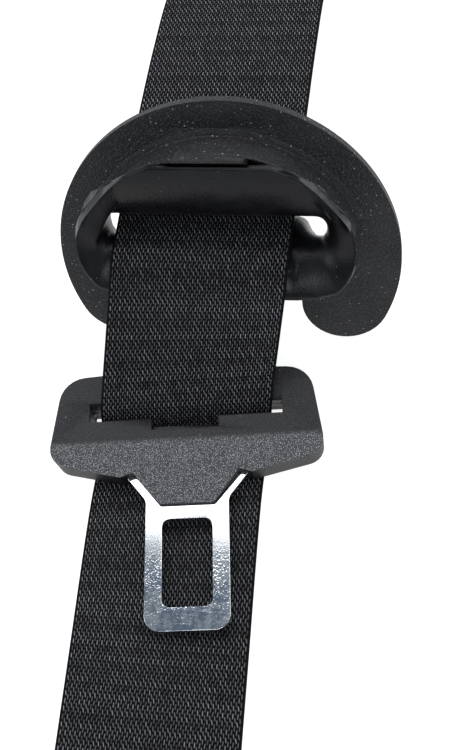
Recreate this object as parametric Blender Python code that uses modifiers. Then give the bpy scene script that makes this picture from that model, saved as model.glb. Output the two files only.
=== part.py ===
"""Seat belt webbing threaded through a round pillar guide and a latch tongue.

Metres, +Z up. The belt lies on the surface z = 0 and runs along +Y. It passes
under the tongue, up through the tongue's slot, over the lower bar of the guide
and down to the surface again behind it.
"""

import math

import bmesh
import bpy
from mathutils import Vector
from mathutils.geometry import interpolate_bezier

# webbing
WEBBING_WIDTH = 0.0470
WEBBING_THICKNESS = 0.0012
WEBBING_CELLS = 8
LAY_X = -0.0117
NEAR_END_Y = -0.158
FAR_END_Y = 0.158
FAR_CREST_Z = 0.0371
ROUTE_SPACING = 0.0022

# the belt's course, each place with its drift to the right of the near end:
# up to the tongue's slot (drift, along, over the surface), from the slot's middle
SLOT_COURSE = ((0.0006, -0.0115, 0.0), (0.0010, -0.0072, 0.0004), (0.0012, -0.0042, 0.0022))
# through the slot (drift, along, over the grip's half height)
THROUGH_COURSE = ((0.0015, -0.0018, -0.0008), (0.0017, 0.0002, 0.0028))
# out of the slot (drift, along past its rear wall, over the grip's top)
LEAVING_COURSE = ((0.0020, 0.0, 0.0010), (0.0024, 0.0042, 0.0042))
RISING_SHARES = (0.35, 0.7)
# over the bar (degrees around its axis)
BAR_ANGLES = (135.0, 123.0, 111.0, 99.0, 89.0)
BAR_DRIFT = 0.0053
BAR_DRIFT_MORE = 0.0011
# level behind the guide (drift, along from the bar's axis, over the crest)
LEVEL_COURSE = ((0.0066, 0.0060, -0.0002), (0.0073, 0.0250, 0.0003), (0.0081, 0.0420, 0.0002))
# down to the surface (drift, share of the way to the far end, over the crest)
FALL_COURSE = (
    (0.0091, 0.37, -0.0010),
    (0.0102, 0.49, -0.0036),
    (0.0116, 0.61, -0.0110),
    (0.0128, 0.73, -0.0235),
)
# settling on the surface (drift, share of the way to the far end, over the surface)
SETTLE_COURSE = ((0.0137, 0.82, 0.0044), (0.0143, 0.89, 0.0004), (0.0147, 0.94, 0.0), (0.0152, 1.0, 0.0))
NEAR_BEND_BACK = 0.012
YAW_START_BACK = 0.026

# clearances
SEAT_GAP = 0.0003
LOOP_END_ROOM = 0.0055

# pillar guide, in its own frame: x along the slot, y up the plate, z out of its face
GUIDE_X = 0.0
GUIDE_Y = -0.0129
GUIDE_LEAN = math.radians(64.1)
FLANGE_WIDTH = 0.0092
PLATE_THICKNESS = 0.0025
PLATE_EDGE_ROUND = 0.0008
LOBE_RADIUS = 0.0120
LOBE_ANGLE = math.radians(-23.0)
GAP_TOP = -0.0050
GAP_CORNER = 0.0050
STEP_WIDTH = 0.0019
STEP_HEIGHT = 0.0007
COLLAR_PAST_SLOT = 0.0085
COLLAR_WALL = 0.0011
COLLAR_DROP = 0.0007
COLLAR_END = 0.0145
COLLAR_EDGE = 0.0003
STEP_FILLET = 0.0004
TAB_SHIFT = -0.0020
TAB_INSET = 0.0002
TAB_DEPTH = 0.0040

# flared loop
LOOP_SHIFT = -0.0012
SLOT_SHIFT = -0.0008
LOOP_WALL = 0.0016
THROAT_LOW = 0.0078
THROAT_HIGH = 0.0170
SEAT_RADIUS = 0.0171
SEAT_CENTRE = (-0.0051, -0.0013)
LIP_PAST_COLLAR = 0.0009
LIP_TOP_CUT = 0.0029
LIP_SIDE_CUT = 0.0021
LIP_BOTTOM = -0.0015
LIP_TOP_OUT = 0.0115
LIP_CORNER_IN = 0.0050
LIP_FOOT_LENGTH = 0.0104
LIP_FOOT_RISE = 0.0016
BAR_END_IN = 0.0028
BAR_ROUND = 0.0060
BAR_REACH = 0.0078
VALLEY_BACK_IN = 0.0030
VALLEY_FRONT_IN = 0.0105
VALLEY_HALF_WIDTH = 0.0026
VALLEY_DEPTH = 0.0014
LOOP_BACK = -0.0032
LOOP_BACK_FLARE = 0.0014
LOOP_BACK_SHARE = 0.12
BELL_POWER = 2.4
END_POWER = 3.5
THROAT_CORNER = 0.0010
THROAT_SHOULDER = 0.0038
SHOULDER_ANGLE = math.radians(42.0)
LIP_WIDEST_UP = 0.0125
LIP_SAG = 0.0002
LIP_OVERHANG = 0.0020
LOOP_RINGS = 21
RING_CROWDING = 1.5

# where the loop's shape changes, as shares of the way from its back edge to its lip
BELL_START = 0.2
SEAT_LEVEL_FROM = 0.05
SEAT_LEVEL_TO = 0.55
VALLEY_FROM = 0.25
VALLEY_TO = 0.5
VALLEY_FADE = 0.2
LIP_TOP_EARLY = 1.08

# how the loop's ends curve: slopes at their foot, and pulls along their three spans
FOOT_SLOPE = 1.6
FOOT_SLOPE_FALL = 1.5
FOOT_SLOPE_TURN = 0.6
SIDE_PULLS = (0.45, 0.36, 0.36)
FOOT_PULL_LESS = 0.17
SHOULDER_FALL = 0.3
TOP_SHARES = (1.0, 0.66, 0.33, 0.0)

# latch tongue, in its own frame: x along the slot, y away from the blade
TONGUE_X = -0.0100
TONGUE_Y = -0.0520
TONGUE_YAW = math.radians(6.0)
GRIP_END_WALL = 0.0112
GRIP_TOP = 0.0118
GRIP_BOTTOM = -0.0252
GRIP_THICKNESS = 0.0088
GRIP_NECK_HALF = 0.0074
GRIP_EDGE_ROUND = 0.0014
GRIP_RIDGE_Y = -0.0085
GRIP_NECK_COVER = 0.0016
GRIP_NECK_LENGTH = 0.0086
GRIP_NECK_CORNER = 0.0012
GRIP_CROWN = 0.0010
GRIP_SHOULDER_IN = 0.0034
GRIP_SHOULDER_DROP = 0.0009
GRIP_SHOULDER_CORNER = 0.0075
GRIP_WIDEST_DROP = 0.0250
GRIP_WIDEST_CORNER = 0.0050
GRIP_WING_OUT = 0.0104
GRIP_WING_DROP = 0.0012
GRIP_WAIST_OUT = 0.0070
GRIP_WAIST_CORNER = 0.0008
GRIP_SLOPE_END_DROP = 0.0004
TONGUE_SLOT_ROOM = 0.0030
TONGUE_SLOT_HALF = 0.0021
TONGUE_SLOT_RAKE = 0.0044
TONGUE_SLOT_CORNER = 0.0008
SLOT_MOUTH_DEEP = 0.0016
SLOT_MOUTH_WIDER = 0.0012
SLOT_FRONT_DEEP = 0.0012
SLOT_FOOT_HIGH = 0.0014
SLOT_FOOT_WIDER = 0.0016
NOTCH_HALF_WIDTH = 0.0092
NOTCH_REACH = 0.0031
NOTCH_DEPTH = 0.0030
BLADE_THICKNESS = 0.0024
BLADE_LOW = 0.0021
BLADE_HALF_WIDTH = 0.0112
BLADE_TIP = -0.0582
BLADE_CORNER = 0.0040
BLADE_EDGE_ROUND = 0.0004
BLADE_HEAD_CORNER = 0.0040
BLADE_SHOULDER_CORNER = 0.0030
BLADE_WAIST_OUT = 0.0062
BLADE_WAIST_Y = -0.0160
BLADE_WAIST_CORNER = 0.0020
BLADE_NECK_UP = 0.0015
BLADE_NECK_CORNER = 0.0030
BLADE_END_WALL = 0.0050
BLADE_HEAD_TOP = 0.0075
LATCH_HALF_WIDTH = 0.0067
LATCH_HIGH = -0.0290
LATCH_LOW = -0.0522
LATCH_CORNER = 0.0022

ARC_STEPS = 6
COLLAR_STEPS = 100
RIM_STEPS = 96
LOBE_STEPS = 20
CUT_PAST = 0.002
SMOOTH_UP_TO = math.radians(35.0)
ROUND_FROM = math.radians(40.0)


def arc(centre, radius, start, end, steps):
    """Points along an arc, angles in radians."""
    turn = (end - start) / steps
    return [
        (centre[0] + radius * math.cos(start + turn * i), centre[1] + radius * math.sin(start + turn * i))
        for i in range(steps + 1)
    ]


def rounded(corners):
    """A closed outline from (x, y, radius) corners, with each corner as an arc."""
    points = []
    for i, (x, y, radius) in enumerate(corners):
        here = Vector((x, y))
        back = (Vector(corners[i - 1][:2]) - here).normalized()
        ahead = (Vector(corners[(i + 1) % len(corners)][:2]) - here).normalized()
        if radius == 0.0:
            points.append((x, y))
            continue
        half = back.angle(ahead) / 2
        centre = here + (back + ahead).normalized() * radius / math.sin(half)
        first = here + back * radius / math.tan(half) - centre
        last = here + ahead * radius / math.tan(half) - centre
        sweep = first.angle_signed(last)
        start = math.atan2(first.y, first.x)
        points += arc(centre, radius, start, start - sweep, ARC_STEPS)
    return points


def mirrored(half):
    """A closed outline of corners from its half on the +x side, listed top to bottom."""
    return half + [(-x, y, radius) for x, y, radius in reversed(half)]


def grown(points, distance):
    """The closed outline moved outwards by a distance, whichever way it runs."""
    loop = [Vector(p) for p in points]
    area = sum(a.cross(b) for a, b in zip(loop, loop[1:] + loop[:1]))
    side = math.copysign(distance, area)
    moved = []
    for i, here in enumerate(loop):
        back = (here - loop[i - 1]).normalized()
        ahead = (loop[(i + 1) % len(loop)] - here).normalized()
        out = Vector((back.y + ahead.y, -back.x - ahead.x)).normalized()
        moved.append(here + out * side / max(0.5, out.dot(Vector((ahead.y, -ahead.x)))))
    return [tuple(p) for p in moved]


def material(name, colour, roughness, metallic=0.0):
    made = bpy.data.materials.new(name)
    made.use_nodes = True
    shader = made.node_tree.nodes["Principled BSDF"]
    shader.inputs["Base Color"].default_value = (*colour, 1.0)
    shader.inputs["Roughness"].default_value = roughness
    shader.inputs["Metallic"].default_value = metallic
    return made


def add(name, mesh, group, frame=None, look=None):
    """An object in the frame of a pivot, or in the world; one with no look is a cutter."""
    thing = bpy.data.objects.new(name, mesh)
    group.objects.link(thing)
    if frame:
        thing.parent, offset = frame
        thing.location = -offset
    if look:
        mesh.materials.append(look)
        mesh.shade_smooth()
        mesh.set_sharp_from_angle(angle=SMOOTH_UP_TO)
    else:
        thing.hide_render = True
        thing.display_type = "WIRE"
    return thing


def slab(name, loops, low, high):
    """A mesh of flat outlines, the first one solid and the rest holes, from z low to high."""
    drawing = bpy.data.curves.new(name, "CURVE")
    drawing.dimensions = "2D"
    drawing.fill_mode = "BOTH"
    drawing.extrude = (high - low) / 2
    for points in loops:
        line = drawing.splines.new("POLY")
        line.points.add(len(points) - 1)
        for point, (x, y) in zip(line.points, points):
            point.co = (x, y, 0.0, 1.0)
        line.use_cyclic_u = True
    sketch = bpy.data.objects.new(name, drawing)
    bpy.context.scene.collection.objects.link(sketch)
    shape = bpy.data.meshes.new_from_object(sketch.evaluated_get(bpy.context.evaluated_depsgraph_get()))
    bpy.data.objects.remove(sketch)
    bm = bmesh.new()
    bm.from_mesh(shape)
    bmesh.ops.remove_doubles(bm, verts=bm.verts, dist=1e-6)
    bmesh.ops.translate(bm, verts=bm.verts, vec=(0.0, 0.0, (high + low) / 2))
    bmesh.ops.recalc_face_normals(bm, faces=bm.faces)
    bm.to_mesh(shape)
    bm.free()
    return shape


def side_slab(name, points, half_length):
    """A mesh of an outline drawn in y and z, run along x to both sides."""
    shape = slab(name, [points], -half_length, half_length)
    for vertex in shape.vertices:
        y, z, x = vertex.co
        vertex.co = (x, y, z)
    return shape


def join(target, other, operation):
    """A Boolean on the target, with the other object kept as its cutter."""
    step = target.modifiers.new(other.name, "BOOLEAN")
    step.operation = operation
    step.object = other
    step.solver = "EXACT"


def round_edges(target, width, segments):
    step = target.modifiers.new("edges", "BEVEL")
    step.width = width
    step.segments = segments
    step.limit_method = "ANGLE"
    step.angle_limit = ROUND_FROM
    step.use_clamp_overlap = True


def turned(name, profile, steps, group, frame):
    """A ring from a closed profile of (radius, z) points."""
    mesh = bpy.data.meshes.new(name)
    bm = bmesh.new()
    corners = [bm.verts.new((radius, 0.0, z)) for radius, z in profile]
    for a, b in zip(corners, corners[1:] + corners[:1]):
        bm.edges.new((a, b))
    bm.to_mesh(mesh)
    bm.free()
    ring = add(name, mesh, group, frame)
    spin = ring.modifiers.new("turn", "SCREW")
    spin.steps = steps
    spin.render_steps = steps
    spin.use_merge_vertices = True
    spin.merge_threshold = 1e-5
    return ring


def ease(value):
    value = min(1.0, max(0.0, value))
    return value * value * (3.0 - 2.0 * value)


# places that several pieces share

SLOT_HALF_LENGTH = (WEBBING_WIDTH + 2 * LOOP_END_ROOM) / 2
COLLAR_RADIUS = SLOT_HALF_LENGTH + COLLAR_PAST_SLOT
COLLAR_HEIGHT = LIP_TOP_OUT - LOOP_WALL - COLLAR_DROP
PLATE_RADIUS = COLLAR_RADIUS + FLANGE_WIDTH
STEP_RADIUS = COLLAR_RADIUS + STEP_WIDTH
LIP_ARC = COLLAR_RADIUS + LIP_PAST_COLLAR
LIP_TOP = LIP_ARC - LIP_TOP_CUT
LIP_HALF_WIDTH = LIP_ARC - LIP_SIDE_CUT
LIP_FOOT_START = LIP_HALF_WIDTH - LIP_CORNER_IN - LIP_FOOT_LENGTH
BAR_END = SLOT_HALF_LENGTH - BAR_END_IN
VALLEY_BACK = SLOT_HALF_LENGTH - VALLEY_BACK_IN
VALLEY_FRONT = SLOT_HALF_LENGTH - VALLEY_FRONT_IN
TONGUE_SLOT_END = WEBBING_WIDTH / 2 + TONGUE_SLOT_ROOM
GRIP_HALF_WIDTH = TONGUE_SLOT_END + GRIP_END_WALL
BLADE_HEAD_HALF = TONGUE_SLOT_END + BLADE_END_WALL
LOBE_CENTRE = (
    (PLATE_RADIUS - LOBE_RADIUS) * math.cos(LOBE_ANGLE),
    (PLATE_RADIUS - LOBE_RADIUS) * math.sin(LOBE_ANGLE),
)
GUIDE_Z = (LOBE_RADIUS - LOBE_CENTRE[1]) * math.sin(GUIDE_LEAN) + PLATE_THICKNESS * math.cos(GUIDE_LEAN)
GUIDE_UP = Vector((math.cos(GUIDE_LEAN), math.sin(GUIDE_LEAN)))
GUIDE_OUT = Vector((-math.sin(GUIDE_LEAN), math.cos(GUIDE_LEAN)))


def guide_place(up, out):
    """World y and z of a point in the middle plane of the guide."""
    return Vector((GUIDE_Y, GUIDE_Z)) + GUIDE_UP * up + GUIDE_OUT * out


GUIDE_AXIS = guide_place(*SEAT_CENTRE)
BELT_RADIUS = SEAT_RADIUS + SEAT_GAP + WEBBING_THICKNESS / 2
TONGUE_LOW = WEBBING_THICKNESS + SEAT_GAP
TONGUE_PIVOT_Z = TONGUE_LOW + GRIP_THICKNESS / 2


def loop_side(low, high, half, bell):
    """The end of one ring from its lower corner to its top, as points in x and y."""
    corner = half - THROAT_CORNER - (LIP_CORNER_IN - THROAT_CORNER) * bell
    widest = (low + high) / 2 + (LIP_WIDEST_UP - (low + high) / 2) * bell
    throat_side = Vector((half - THROAT_CORNER, high - THROAT_CORNER))
    lip_side = Vector((math.cos(SHOULDER_ANGLE), math.sin(SHOULDER_ANGLE))) * LIP_ARC
    flat_end = math.sqrt(LIP_ARC**2 - LIP_TOP**2)
    flat_x = half - THROAT_SHOULDER + (flat_end - half + THROAT_SHOULDER) * bell
    foot_slope = Vector((1.0, FOOT_SLOPE - FOOT_SLOPE_FALL * bell + FOOT_SLOPE_TURN * bell**4))
    knots = [
        (Vector((corner, low + LIP_SAG)), foot_slope),
        (Vector((half, widest)), Vector((0.0, 1.0))),
        (throat_side.lerp(lip_side, bell), Vector((-math.sin(SHOULDER_ANGLE), math.cos(SHOULDER_ANGLE)))),
        (Vector((flat_x, high)), Vector((-1.0, SHOULDER_FALL * bell))),
    ]
    side = []
    pulls = (SIDE_PULLS[0] - FOOT_PULL_LESS * bell**4, *SIDE_PULLS[1:])
    for pull, (start, out_slope), (end, in_slope) in zip(pulls, knots, knots[1:]):
        reach = (end - start).length * pull
        out_handle = start + out_slope.normalized() * reach
        in_handle = end - in_slope.normalized() * reach
        side += interpolate_bezier(start, out_handle, in_handle, end, ARC_STEPS + 1)[:-1]
    return corner, flat_x, side


def seat_height(out):
    """The height of the round seat at a distance out of the plate's face."""
    return SEAT_CENTRE[0] + math.sqrt(SEAT_RADIUS**2 - (out - SEAT_CENTRE[1]) ** 2)


def seat_out(height):
    """The distance of the round seat out of the plate's face at a height."""
    return SEAT_CENTRE[1] + math.sqrt(SEAT_RADIUS**2 - (height - SEAT_CENTRE[0]) ** 2)


def back_flare(depth):
    return LOOP_BACK_FLARE * max(0.0, 1.0 - depth / LOOP_BACK_SHARE)


def seat_point(depth, x):
    """The height and the distance out of the ring's lower side at x."""
    bar = ease((BAR_END - x) / BAR_ROUND)
    rear = LOOP_BACK - BAR_REACH * bar
    foot = (x - LIP_FOOT_START) / LIP_FOOT_LENGTH
    lip = LIP_BOTTOM + LIP_FOOT_RISE * min(1.0, max(0.0, foot)) ** 2
    out = rear + (seat_out(lip) - rear) * depth
    high = seat_height(out)
    level = ease((SEAT_LEVEL_TO - depth) / (SEAT_LEVEL_TO - SEAT_LEVEL_FROM))
    drop = (high - THROAT_LOW) * level + back_flare(depth)
    return high - drop * (1.0 - bar), out


def seat_half(depth, corner):
    """Half of the ring's lower side, from the middle to its corner, as (x, y, out) points.

    Its middle is the round bar that the webbing bends over. The bar reaches behind
    the plate and ends in a dome, with a valley between it and the flared lip.
    """
    valley = VALLEY_BACK + (VALLEY_FRONT - VALLEY_BACK) * depth
    places = [0.0, valley / 3, valley * 2 / 3]
    places += [valley + VALLEY_HALF_WIDTH * share for share in (-1.0, -0.5, 0.0, 0.5, 1.0)]
    places.append((places[-1] + corner) / 2)
    points = []
    for x in places:
        y, out = seat_point(depth, x)
        y -= LIP_SAG * ease(1.0 - x / corner)
        dip = VALLEY_DEPTH * ease(1.0 - abs(x - valley) / VALLEY_HALF_WIDTH)
        dip *= ease((depth - VALLEY_FROM) / (VALLEY_TO - VALLEY_FROM)) * ease((1.0 - depth) / VALLEY_FADE)
        fall = Vector((y - SEAT_CENTRE[0], out - SEAT_CENTRE[1])).normalized() * dip
        points.append((x, y - fall.x, out - fall.y))
    return points


def loop_ring(depth):
    """One ring of the loop's inner wall, from depth 0 at the back edge to 1 at the lip.

    The upper side opens like a bell mouth and the lower side follows the round seat.
    """
    bell = ease((depth - BELL_START) / (1.0 - BELL_START)) ** BELL_POWER
    flare = back_flare(depth)
    opened = max(0.0, (depth - LOOP_BACK_SHARE) / (1.0 - LOOP_BACK_SHARE))
    high = THROAT_HIGH + (LIP_TOP - THROAT_HIGH) * opened**BELL_POWER + flare
    half = SLOT_HALF_LENGTH + (LIP_HALF_WIDTH - SLOT_HALF_LENGTH) * opened**END_POWER + flare
    high_out = LOOP_BACK + (LIP_TOP_OUT - LOOP_BACK) * math.sin(min(1.0, depth * LIP_TOP_EARLY) * math.pi / 2)
    low, low_out = seat_point(depth, half)

    corner, flat_x, side = loop_side(low, high, half, bell)
    half_ring = seat_half(depth, corner)
    for point in side:
        half_ring.append((*point, low_out + (high_out - low_out) * ease((point.y - low) / (high - low))))
    half_ring += [(flat_x * share, high, high_out) for share in TOP_SHARES]

    # behind the collar's front edge the ring keeps inside the collar
    inside = COLLAR_RADIUS - COLLAR_WALL - LOOP_WALL - SEAT_GAP
    spread = LIP_ARC + abs(LOOP_SHIFT) + LIP_OVERHANG / 4 - inside
    ring = []
    for x, y, out in half_ring + [(-x, y, out) for x, y, out in half_ring[-2:0:-1]]:
        room = inside + spread * ease((out - COLLAR_HEIGHT - LIP_OVERHANG / 2) / LIP_OVERHANG)
        place = Vector((LOOP_SHIFT + SLOT_SHIFT * (1.0 - bell) + x, y))
        place *= min(1.0, room / place.length)
        ring.append(Vector((place.x, place.y, out)))
    return ring


def make_loop(group, frame, look):
    """The flared loop: rings lofted from the back of the slot to the lip, with one wall."""
    mesh = bpy.data.meshes.new("guide_loop")
    bm = bmesh.new()
    depths = [1.0 - (1.0 - i / (LOOP_RINGS - 1)) ** RING_CROWDING for i in range(LOOP_RINGS)]
    rings = [[bm.verts.new(p) for p in loop_ring(depth)] for depth in depths]
    for near, far in zip(rings, rings[1:]):
        for i in range(len(near)):
            bm.faces.new((near[i - 1], near[i], far[i], far[i - 1]))
    bm.to_mesh(mesh)
    bm.free()
    loop = add("guide_loop", mesh, group, frame, look)
    wall = loop.modifiers.new("wall", "SOLIDIFY")
    wall.thickness = LOOP_WALL
    wall.offset = 1.0
    wall.use_even_offset = True


def plate_outline():
    """The C shaped plate: the big circle, the round ends of both lobes and the gap between."""
    rim = arc((0.0, 0.0), PLATE_RADIUS, LOBE_ANGLE, math.pi - LOBE_ANGLE, RIM_STEPS)
    left = (-LOBE_CENTRE[0], LOBE_CENTRE[1])
    left_lobe = arc(left, LOBE_RADIUS, math.pi - LOBE_ANGLE, 2 * math.pi, LOBE_STEPS)[1:]
    gap_x = LOBE_CENTRE[0] - LOBE_RADIUS
    corner_x, corner_y = gap_x - GAP_CORNER, GAP_TOP - GAP_CORNER
    left_corner = arc((-corner_x, corner_y), GAP_CORNER, math.pi, math.pi / 2, ARC_STEPS)
    right_corner = arc((corner_x, corner_y), GAP_CORNER, math.pi / 2, 0.0, ARC_STEPS)
    right_lobe = arc(LOBE_CENTRE, LOBE_RADIUS, math.pi, 2 * math.pi + LOBE_ANGLE, LOBE_STEPS)[:-1]
    return rim + left_lobe + left_corner + right_corner + right_lobe


def make_plate(group, cutters, frame, look):
    """The plate with its low step, the round collar, the snap tab and the loop's window."""
    plate_mesh = slab("guide_flange", [plate_outline()], -PLATE_THICKNESS, 0.0)
    plate = add("guide_flange", plate_mesh, group, frame, look)
    round_edges(plate, PLATE_EDGE_ROUND, 2)
    inner = COLLAR_RADIUS - COLLAR_WALL
    sunk = -PLATE_THICKNESS / 2
    ring_profile = [
        (STEP_RADIUS, STEP_HEIGHT),
        (STEP_RADIUS, sunk),
        (inner, sunk),
        (inner, COLLAR_HEIGHT),
        (COLLAR_RADIUS - COLLAR_EDGE, COLLAR_HEIGHT),
        (COLLAR_RADIUS, COLLAR_HEIGHT - COLLAR_EDGE),
        (COLLAR_RADIUS, STEP_HEIGHT + STEP_FILLET),
        (COLLAR_RADIUS + STEP_FILLET, STEP_HEIGHT),
    ]
    collar = turned("collar_ring", ring_profile, COLLAR_STEPS, cutters, frame)
    below = [
        (-PLATE_RADIUS, -PLATE_RADIUS),
        (PLATE_RADIUS, -PLATE_RADIUS),
        (PLATE_RADIUS, COLLAR_END),
        (-PLATE_RADIUS, COLLAR_END),
    ]
    collar_end = slab("collar_end_cut", [below], -PLATE_RADIUS, PLATE_RADIUS)
    join(collar, add("collar_end_cut", collar_end, cutters, frame), "DIFFERENCE")
    tab_radius = COLLAR_RADIUS - TAB_INSET
    tab_edge = math.acos((LIP_TOP + SEAT_GAP) / tab_radius)
    tab_arc = arc((0.0, 0.0), tab_radius, math.pi / 2 - tab_edge, math.pi / 2 + tab_edge, 2 * ARC_STEPS)
    tab_points = [(x + TAB_SHIFT, y) for x, y in tab_arc]
    tab_mesh = slab("snap_tab", [tab_points], COLLAR_HEIGHT - TAB_DEPTH, LIP_TOP_OUT - TAB_INSET)
    join(collar, add("snap_tab", tab_mesh, cutters, frame), "UNION")
    join(plate, collar, "UNION")
    back = [(p.x, p.y) for p in loop_ring(0.0)]
    window = grown(back, LOOP_WALL + SEAT_GAP)
    window_mesh = slab("loop_window", [window], -PLATE_RADIUS, COLLAR_HEIGHT - TAB_DEPTH)
    join(plate, add("loop_window", window_mesh, cutters, frame), "DIFFERENCE")


def blade_outline():
    return rounded(
        mirrored(
            [
                (BLADE_HEAD_HALF, BLADE_HEAD_TOP, BLADE_HEAD_CORNER),
                (BLADE_HEAD_HALF, GRIP_RIDGE_Y, BLADE_SHOULDER_CORNER),
                (BLADE_HALF_WIDTH + BLADE_WAIST_OUT, BLADE_WAIST_Y, BLADE_WAIST_CORNER),
                (BLADE_HALF_WIDTH, GRIP_BOTTOM + BLADE_NECK_UP, BLADE_NECK_CORNER),
                (BLADE_HALF_WIDTH, BLADE_TIP, BLADE_CORNER),
            ]
        )
    )


def make_blade(group, frame, look):
    """The steel plate: the latch blade, its window and the head around the slot."""
    latch = rounded(
        mirrored([(LATCH_HALF_WIDTH, LATCH_HIGH, LATCH_CORNER), (LATCH_HALF_WIDTH, LATCH_LOW, LATCH_CORNER)])
    )
    slot_low = -TONGUE_SLOT_HALF - TONGUE_SLOT_RAKE
    slot = rounded(
        mirrored(
            [
                (TONGUE_SLOT_END, TONGUE_SLOT_HALF, TONGUE_SLOT_CORNER),
                (TONGUE_SLOT_END, slot_low, TONGUE_SLOT_CORNER),
            ]
        )
    )
    blade_mesh = slab("tongue_blade", [blade_outline(), latch, slot], BLADE_LOW, BLADE_LOW + BLADE_THICKNESS)
    blade = add("tongue_blade", blade_mesh, group, frame, look)
    round_edges(blade, BLADE_EDGE_ROUND, 2)


def make_grip(group, cutters, frame, look):
    """The moulded grip over the head of the steel plate, sloped down to a neck."""
    neck = GRIP_BOTTOM + GRIP_NECK_LENGTH
    half = [
        (GRIP_HALF_WIDTH - GRIP_SHOULDER_IN, GRIP_TOP - GRIP_SHOULDER_DROP, GRIP_SHOULDER_CORNER),
        (GRIP_HALF_WIDTH, GRIP_TOP - GRIP_WIDEST_DROP, GRIP_WIDEST_CORNER),
        (GRIP_NECK_HALF + GRIP_WING_OUT, neck - GRIP_WING_DROP, GRIP_WAIST_CORNER),
        (GRIP_NECK_HALF + GRIP_WAIST_OUT, neck, GRIP_WAIST_CORNER),
        (GRIP_NECK_HALF, GRIP_BOTTOM, GRIP_NECK_CORNER),
    ]
    outline = rounded([(0.0, GRIP_TOP + GRIP_CROWN, 0.0)] + mirrored(half))
    grip = add("tongue_grip", slab("tongue_grip", [outline], 0.0, GRIP_THICKNESS), group, frame, look)
    slope_end = BLADE_LOW + BLADE_THICKNESS + GRIP_NECK_COVER - GRIP_SLOPE_END_DROP
    slope = [
        (GRIP_RIDGE_Y, GRIP_THICKNESS),
        (GRIP_BOTTOM - CUT_PAST, slope_end),
        (GRIP_BOTTOM - CUT_PAST, GRIP_THICKNESS + 2 * CUT_PAST),
        (GRIP_RIDGE_Y, GRIP_THICKNESS + 2 * CUT_PAST),
    ]
    wedge = add("slope_cut", side_slab("slope_cut", slope, 2 * GRIP_HALF_WIDTH), cutters, frame)
    join(grip, wedge, "DIFFERENCE")
    round_edges(grip, GRIP_EDGE_ROUND, 3)
    low_front = -TONGUE_SLOT_HALF - TONGUE_SLOT_RAKE
    throat = [
        (TONGUE_SLOT_HALF, -CUT_PAST),
        (TONGUE_SLOT_HALF, GRIP_THICKNESS - SLOT_MOUTH_DEEP),
        (TONGUE_SLOT_HALF + SLOT_MOUTH_WIDER, GRIP_THICKNESS),
        (TONGUE_SLOT_HALF + SLOT_MOUTH_WIDER, GRIP_THICKNESS + CUT_PAST),
        (-TONGUE_SLOT_HALF, GRIP_THICKNESS + CUT_PAST),
        (-TONGUE_SLOT_HALF, GRIP_THICKNESS - SLOT_FRONT_DEEP),
        (low_front, SLOT_FOOT_HIGH),
        (low_front - SLOT_FOOT_WIDER, 0.0),
        (low_front - SLOT_FOOT_WIDER, -CUT_PAST),
    ]
    slot_mesh = side_slab("belt_slot", throat, TONGUE_SLOT_END)
    join(grip, add("belt_slot", slot_mesh, cutters, frame), "DIFFERENCE")
    notch_y = -TONGUE_SLOT_HALF - NOTCH_REACH
    notch = [
        (0.0, GRIP_THICKNESS - NOTCH_DEPTH),
        (0.0, GRIP_THICKNESS + CUT_PAST),
        (notch_y, GRIP_THICKNESS + CUT_PAST),
        (notch_y, GRIP_THICKNESS - NOTCH_DEPTH),
    ]
    notch_mesh = side_slab("slot_notch", notch, NOTCH_HALF_WIDTH)
    join(grip, add("slot_notch", notch_mesh, cutters, frame), "DIFFERENCE")
    pocket = slab(
        "blade_pocket",
        [grown(blade_outline(), SEAT_GAP)],
        BLADE_LOW - SEAT_GAP,
        BLADE_LOW + BLADE_THICKNESS + SEAT_GAP,
    )
    join(grip, add("blade_pocket", pocket, cutters, frame), "DIFFERENCE")


def belt_route():
    """The belt's middle line as (x, y, z, yaw of its width), from the near end to the far one."""
    lay = WEBBING_THICKNESS / 2
    yaw = TONGUE_YAW
    slot_rear = TONGUE_Y + TONGUE_SLOT_HALF
    slot_top = TONGUE_LOW + GRIP_THICKNESS
    route = [
        (0.0, NEAR_END_Y, lay, 0.0),
        (0.0, (NEAR_END_Y + TONGUE_Y) / 2 - NEAR_BEND_BACK, lay, 0.0),
        (0.0, TONGUE_Y - YAW_START_BACK, lay, yaw),
    ]
    route += [(x, TONGUE_Y + along, lay + over, yaw) for x, along, over in SLOT_COURSE]
    route += [(x, TONGUE_Y + along, TONGUE_PIVOT_Z + over, yaw) for x, along, over in THROUGH_COURSE]
    route += [(x, slot_rear + along, slot_top + over, yaw) for x, along, over in LEAVING_COURSE]

    drift, y, z, _ = route[-1]
    leave = GUIDE_AXIS + Vector((-1.0, 1.0)).normalized() * BELT_RADIUS
    for share in RISING_SHARES:
        point = Vector((y, z)).lerp(leave, share)
        route.append((drift + (BAR_DRIFT - drift) * share, point.x, point.y, yaw * (1.0 - share)))
    first, last = BAR_ANGLES[0], BAR_ANGLES[-1]
    for angle in BAR_ANGLES:
        turn = math.radians(angle)
        point = GUIDE_AXIS + Vector((math.cos(turn), math.sin(turn))) * BELT_RADIUS
        route.append((BAR_DRIFT + BAR_DRIFT_MORE * (first - angle) / (first - last), point.x, point.y, 0.0))

    crest = GUIDE_AXIS.x
    far = FAR_END_Y - crest
    route += [(x, crest + along, FAR_CREST_Z + over, 0.0) for x, along, over in LEVEL_COURSE]
    route += [(x, crest + far * share, FAR_CREST_Z + over, 0.0) for x, share, over in FALL_COURSE]
    route += [(x, crest + far * share, lay + over, 0.0) for x, share, over in SETTLE_COURSE]
    return [Vector((LAY_X + x, y, max(z, lay), yaw)) for x, y, z, yaw in route]


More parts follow.
